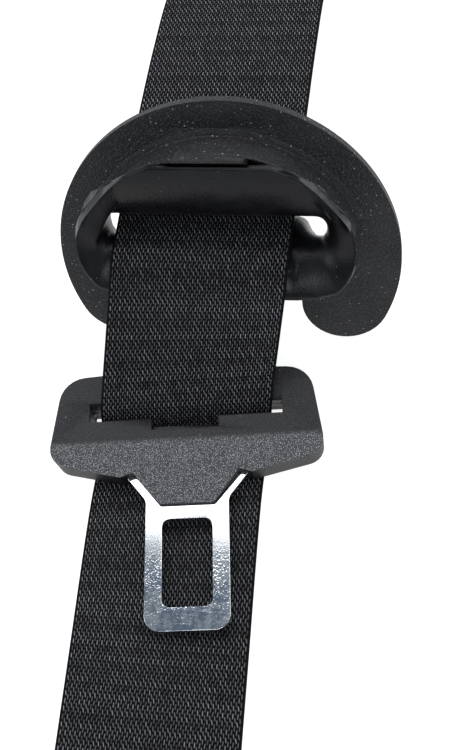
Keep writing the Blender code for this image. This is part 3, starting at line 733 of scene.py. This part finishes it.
def beltRoute():
    lay = strap["thickness"] / 2
    yaw = tongue["yaw"]
    slotY = slot["y"]
    middle = slot["low"] + slot["gripThickness"] / 2
    top = slot["low"] + slot["gripThickness"]
    rear = slotY + slot["half"]
    route = [
        (0.0, strap["nearEnd"], lay, 0.0),
        (0.0, (strap["nearEnd"] + slotY) / 2 - course["bendBack"], lay, 0.0),
        (0.0, slotY - course["yawBack"], lay, yaw),
    ]
    route += [(x, slotY + y, lay + z, yaw) for x, y, z in course["toSlot"]]
    route += [(x, slotY + y, middle + z, yaw) for x, y, z in course["inSlot"]]
    route += [(x, rear + y, top + z, yaw) for x, y, z in course["offSlot"]]

    # up to the bar and over it
    centre = Vector(guide["axis"])
    radius = guide["seatRadius"] + guide["gap"] + lay
    leave = centre + Vector((-1.0, 1.0)).normalized() * radius
    drift, lastY, lastZ, _ = route[-1]
    for share in course["rising"]:
        point = Vector((lastY, lastZ)).lerp(leave, share)
        x = drift + (course["barDrift"] - drift) * share
        route.append((x, point.x, point.y, yaw * (1.0 - share)))
    first, last = course["barAngles"][0], course["barAngles"][-1]
    for angle in course["barAngles"]:
        turn = math.radians(angle)
        point = centre + Vector((math.cos(turn), math.sin(turn))) * radius
        x = course["barDrift"] + course["barDriftMore"] * (first - angle) / (first - last)
        route.append((x, point.x, point.y, 0.0))

    # level behind the guide, and down to the surface
    crestY = centre.x
    far = strap["farEnd"] - crestY
    crest = strap["crest"]
    route += [(x, crestY + y, crest + z, 0.0) for x, y, z in course["level"]]
    route += [(x, crestY + far * share, crest + z, 0.0) for x, share, z in course["fall"]]
    route += [(x, crestY + far * share, lay + z, 0.0) for x, share, z in course["settle"]]
    return [Vector((strap["layX"] + x, y, max(z, lay), w)) for x, y, z, w in route]


def smoothLine(points, spacing):
    line = []
    ends = [2 * points[0] - points[1]] + points + [2 * points[-1] - points[-2]]
    for before, a, b, after in zip(ends, ends[1:], ends[2:], ends[3:]):
        length = (b - a).xyz.length
        slopeA = (b - before) * length / (b - before).xyz.length
        slopeB = (after - a) * length / (after - a).xyz.length
        steps = max(2, round(length / spacing))
        for i in range(steps):
            t = i / steps
            place = a * (2 * t**3 - 3 * t**2 + 1) + slopeA * (t**3 - 2 * t**2 + t)
            line.append(place + b * (3 * t**2 - 2 * t**3) + slopeB * (t**3 - t**2))
    return line + [points[-1]]


def strapFrames():
    # (place, across, along, up, length so far) at each station of the strap
    line = smoothLine(beltRoute(), strap["spacing"])
    lay = strap["thickness"] / 2
    for point in line:
        point.z = max(point.z, lay)
    frames = []
    run = 0.0
    for i, point in enumerate(line):
        before, after = line[max(0, i - 1)], line[min(len(line) - 1, i + 1)]
        along = (after - before).xyz.normalized()
        across = Vector((1.0, math.tan(point.w), 0.0))
        up = across.cross(along).normalized()
        if i:
            run += (point - line[i - 1]).xyz.length
        frames.append((point.xyz, across, along, up, run))
    return frames


def makeStrapMiddle(frames):
    # the flat middle of the strap, with its directions kept for the weave
    half = strap["width"] / 2
    length = frames[-1][4]
    mesh = bpy.data.meshes.new("strapMiddle")
    bm = bmesh.new()
    sides = (-half, 0.0, half)
    rows = [[bm.verts.new(p + across * x) for x in sides] for p, across, _, _, _ in frames]
    uv = bm.loops.layers.uv.new("strap")
    for i, (near, far) in enumerate(zip(rows, rows[1:])):
        for j in (0, 1):
            face = bm.faces.new((near[j], near[j + 1], far[j + 1], far[j]))
            for loop, (a, b) in zip(face.loops, ((j, i), (j + 1, i), (j + 1, i + 1), (j, i + 1))):
                loop[uv].uv = (a / 2, frames[b][4] / length)
    bm.to_mesh(mesh)
    bm.free()
    for name, pick in (("alongWay", 2), ("upWay", 3)):
        layer = mesh.attributes.new(name, "FLOAT_VECTOR", "POINT")
        layer.data.foreach_set("vector", [c for f in frames for _ in sides for c in f[pick]])
    return addObject("strapMiddle", mesh), length


def makeStrapGround(frames, drop):
    # the ground cloth: one closed band with rounded selvedges, thinner than the strap by its floats
    flat = strap["width"] / 2 - strap["edgeRound"]
    rise = strap["thickness"] / 2 - drop
    edge = strap["edgeRound"]
    steps = strap["edgeSteps"]
    turn = [math.pi / 2 - math.pi * i / steps for i in range(1, steps)]
    profile = [(-flat, rise), (0.0, rise), (flat, rise)]
    profile += [(flat + edge * math.cos(a), rise * math.sin(a)) for a in turn]
    profile += [(flat, -rise), (0.0, -rise), (-flat, -rise)]
    profile += [(-flat - edge * math.cos(a), -rise * math.sin(a)) for a in turn]
    mesh = bpy.data.meshes.new("webbingGround")
    bm = bmesh.new()
    uv = bm.loops.layers.uv.new("strap")
    rings = []
    for place, across, _, up, _ in frames:
        rings.append([bm.verts.new(place + across * x + up * h) for x, h in profile])
    count = len(profile)
    for i, (near, far) in enumerate(zip(rings, rings[1:])):
        for j in range(count):
            k = (j + 1) % count
            face = bm.faces.new((near[j], near[k], far[k], far[j]))
            for loop, (a, b) in zip(face.loops, ((j, i), (k, i), (k, i + 1), (j, i + 1))):
                across, along = profile[a][0] / strap["width"], frames[b][4] / strap["width"]
                loop[uv].uv = (across + 0.5, along)
            face.smooth = True
    bm.faces.new(rings[0])
    bm.faces.new(list(reversed(rings[-1])))
    bmesh.ops.recalc_face_normals(bm, faces=bm.faces)
    bm.to_mesh(mesh)
    bm.free()
    mesh.materials.append(groundBlack)
    return addObject("webbingGround", mesh)


weave = {
    "Columns": 72,
    "Row Pitch": 0.00190,
    "Row Start": 0.25,
    "Float Length": 0.00175,
    "Float Width": 0.00052,
    "Float Height": 0.00050,
    "Lean": math.radians(10.0),
    "Lean Swing": 1.3,
    "Sway": 0.12,
    "Edge Margin": 0.0006,
    "Row Tone": 0.4,
    "Odd Dimming": 0.45,
    "Seed": 7,
}
floatShape = {"tip": 0.5, "shoulder": 0.28, "halfWidth": 0.45, "crest": 0.45, "foot": -0.1}


def makeFloatMesh():
    # one yarn float, one unit long and about one wide and half high, closed
    mesh = bpy.data.meshes.new("yarnFloat")
    bm = bmesh.new()
    tip, shoulder, foot = floatShape["tip"], floatShape["shoulder"], floatShape["foot"]
    half = floatShape["halfWidth"]
    corners = ((-half, foot), (0.0, floatShape["crest"]), (half, foot))
    tips = [bm.verts.new((0.0, y, foot)) for y in (-tip, tip)]
    rings = [[bm.verts.new((x, y, z)) for x, z in corners] for y in (-shoulder, shoulder)]
    for i in range(3):
        j = (i + 1) % 3
        bm.faces.new((tips[0], rings[0][i], rings[0][j]))
        bm.faces.new((rings[0][i], rings[1][i], rings[1][j], rings[0][j]))
        bm.faces.new((rings[1][i], tips[1], rings[1][j]))
    bmesh.ops.recalc_face_normals(bm, faces=bm.faces)
    for face in bm.faces:
        face.smooth = True
    bm.to_mesh(mesh)
    bm.free()
    # 1 on the crest and 0 at the foot: it places the painted highlight along each float's top
    crest = mesh.attributes.new("crest", "FLOAT", "POINT")
    crest.data.foreach_set("value", [1.0 if v.co.z > 0.0 else 0.0 for v in mesh.vertices])
    return addObject("yarnFloat", mesh)


def makeWeaveTree(floatObject, side):
    # rows of floats laid on the strap through its UV map, on one side of it
    tree = bpy.data.node_groups.new("weaveFloats", "GeometryNodeTree")
    tree.is_modifier = True
    panel = tree.interface
    panel.new_socket("Geometry", in_out="INPUT", socket_type="NodeSocketGeometry")
    for label in ("Strap Length", "Strap Width", "Strap Thickness"):
        panel.new_socket(label, in_out="INPUT", socket_type="NodeSocketFloat")
    for label, value in weave.items():
        kind = "NodeSocketInt" if isinstance(value, int) else "NodeSocketFloat"
        panel.new_socket(label, in_out="INPUT", socket_type=kind)
    panel.new_socket("Geometry", in_out="OUTPUT", socket_type="NodeSocketGeometry")
    given = tree.nodes.new("NodeGroupInput").outputs
    result = tree.nodes.new("NodeGroupOutput").inputs

    def sums(operation, a, b=0.0):
        return calc(tree, operation, a, b)

    def scaled(vector, amount):
        inputs = {0: vector, "Scale": amount}
        return wire(tree, "ShaderNodeVectorMath", inputs, operation="SCALE").outputs[0]

    def chance(low, high, number=None):
        # the node's sockets 2 and 3 are its range as plain values, and output 1 its plain value
        inputs = {2: low, 3: high, "Seed": given["Seed"]}
        if number is not None:
            inputs["ID"] = number
        return wire(tree, "FunctionNodeRandomValue", inputs, data_type="FLOAT").outputs[1]

    wanted = sums("DIVIDE", given["Strap Length"], given["Row Pitch"])
    rows = wire(tree, "FunctionNodeFloatToInt", {0: wanted}, rounding_mode="FLOOR").outputs[0]
    grid = wire(
        tree,
        "GeometryNodeMeshGrid",
        {"Size X": 1.0, "Size Y": 1.0, "Vertices X": given["Columns"], "Vertices Y": rows},
    )
    number = tree.nodes.new("GeometryNodeInputIndex").outputs[0]
    column = sums("FLOOR", sums("DIVIDE", number, rows))
    row = sums("SUBTRACT", number, sums("MULTIPLY", column, rows))
    odd = sums("MODULO", column, 2.0)
    flip = sums("MODULO", row, 2.0)

    # u across and v along, with every other column half a row on
    margins = sums("MULTIPLY", given["Edge Margin"], 2.0)
    usable = sums("SUBTRACT", given["Strap Width"], margins)
    u = sums("DIVIDE", sums("ADD", column, 0.5), given["Columns"])
    fromMiddle = sums("MULTIPLY", sums("SUBTRACT", u, 0.5), usable)
    u = sums("ADD", 0.5, sums("DIVIDE", fromMiddle, given["Strap Width"]))
    halfOn = sums("MULTIPLY", odd, 0.5)
    v = sums("DIVIDE", sums("ADD", sums("ADD", row, given["Row Start"]), halfOn), rows)
    spot = wire(tree, "ShaderNodeCombineXYZ", {0: u, 1: v}).outputs[0]

    def stored(name):
        named = {"Name": name}
        kind = "GeometryNodeInputNamedAttribute"
        return wire(tree, kind, named, data_type="FLOAT_VECTOR").outputs[0]

    uvLayer = stored("strap")

    def sampled(value):
        inputs = {
            "Mesh": given["Geometry"],
            "Value": value,
            "UV Map": uvLayer,
            "Sample UV": spot,
        }
        kind = "GeometryNodeSampleUVSurface"
        return wire(tree, kind, inputs, data_type="FLOAT_VECTOR").outputs["Value"]

    # each float sits just under the strap's face, its length along the strap
    place = sampled(tree.nodes.new("GeometryNodeInputPosition").outputs[0])
    along = sampled(stored("alongWay"))
    upSide = scaled(sampled(stored("upWay")), side)
    halfThick = sums("DIVIDE", given["Strap Thickness"], 2.0)
    lift = sums("SUBTRACT", halfThick, sums("DIVIDE", given["Float Height"], 2.0))
    seat = vectorMath(tree, "ADD", place, scaled(upSide, lift))
    aimed = wire(
        tree,
        "FunctionNodeAxesToRotation",
        {0: upSide, 1: along},
        primary_axis="Z",
        secondary_axis="Y",
    )

    # rows lean one way and the other, each float with a sway of its own
    sway = chance(sums("MULTIPLY", given["Sway"], -1.0), given["Sway"])
    signed = sums("SUBTRACT", 1.0, sums("MULTIPLY", flip, given["Lean Swing"]))
    lean = sums("ADD", sums("MULTIPLY", given["Lean"], signed), sway)
    leanTurn = wire(tree, "ShaderNodeCombineXYZ", {2: lean}).outputs[0]
    leanRotation = wire(tree, "FunctionNodeEulerToRotation", {0: leanTurn}).outputs[0]
    turned = wire(
        tree,
        "FunctionNodeRotateRotation",
        {0: aimed.outputs[0], 1: leanRotation},
        rotation_space="LOCAL",
    )

    points = {"Geometry": grid.outputs["Mesh"], "Position": seat}
    laid = wire(tree, "GeometryNodeSetPosition", points)
    stock = wire(tree, "GeometryNodeObjectInfo", {"Object": floatObject})
    sizes = {0: given["Float Width"], 1: given["Float Length"], 2: given["Float Height"]}
    spread = wire(
        tree,
        "GeometryNodeInstanceOnPoints",
        {
            "Points": laid.outputs[0],
            "Instance": stock.outputs["Geometry"],
            "Rotation": turned.outputs[0],
            "Scale": wire(tree, "ShaderNodeCombineXYZ", sizes).outputs[0],
        },
    )

    # the tint: a share of chance for the float and one for its row, dimmed in odd columns
    rowNumber = wire(tree, "FunctionNodeFloatToInt", {0: row}).outputs[0]
    ownShare = sums("SUBTRACT", 1.0, given["Row Tone"])
    own = sums("MULTIPLY", chance(0.0, 1.0), ownShare)
    shared = sums("MULTIPLY", chance(0.0, 1.0, rowNumber), given["Row Tone"])
    dimming = sums("SUBTRACT", 1.0, sums("MULTIPLY", odd, given["Odd Dimming"]))
    tone = sums("MULTIPLY", sums("ADD", own, shared), dimming)
    kept = wire(
        tree,
        "GeometryNodeStoreNamedAttribute",
        {"Geometry": spread.outputs[0], "Name": "tint", "Value": tone},
        data_type="FLOAT",
        domain="INSTANCE",
    )
    real = wire(tree, "GeometryNodeRealizeInstances", {"Geometry": kept.outputs[0]})
    paint = {"Geometry": real.outputs[0], "Material": yarnBlack}
    tree.links.new(wire(tree, "GeometryNodeSetMaterial", paint).outputs[0], result["Geometry"])
    return tree


def layFloats(name, middle, length, tree):
    step = middle.modifiers.new("weave", "NODES")
    step.node_group = tree
    sizes = {
        "Strap Length": length,
        "Strap Width": strap["width"],
        "Strap Thickness": strap["thickness"],
        **weave,
    }
    for item in tree.interface.items_tree:
        if item.in_out == "INPUT" and item.name in sizes:
            step[item.identifier] = sizes[item.name]
    bpy.context.view_layer.update()
    evaluated = middle.evaluated_get(bpy.context.evaluated_depsgraph_get())
    mesh = bpy.data.meshes.new_from_object(evaluated)
    middle.modifiers.remove(step)
    return addObject(name, mesh)


def weaveStrap():
    frames = strapFrames()
    middle, length = makeStrapMiddle(frames)
    stock = makeFloatMesh()
    ground = makeStrapGround(frames, weave["Float Height"] * strap["floatsSunk"])
    faces = [
        layFloats("weaveAbove", middle, length, makeWeaveTree(stock, 1.0)),
        layFloats("weaveBelow", middle, length, makeWeaveTree(stock, -1.0)),
    ]
    for spare in (middle, stock):
        bpy.data.objects.remove(spare)
    for piece in [ground, *faces]:
        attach(piece, "belt")
    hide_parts("webbing")
    count = sum(len(p.data.polygons) for p in faces)
    print("webbing woven,", count, "faces,", round(length, 4), "m long")


weaveStrap()
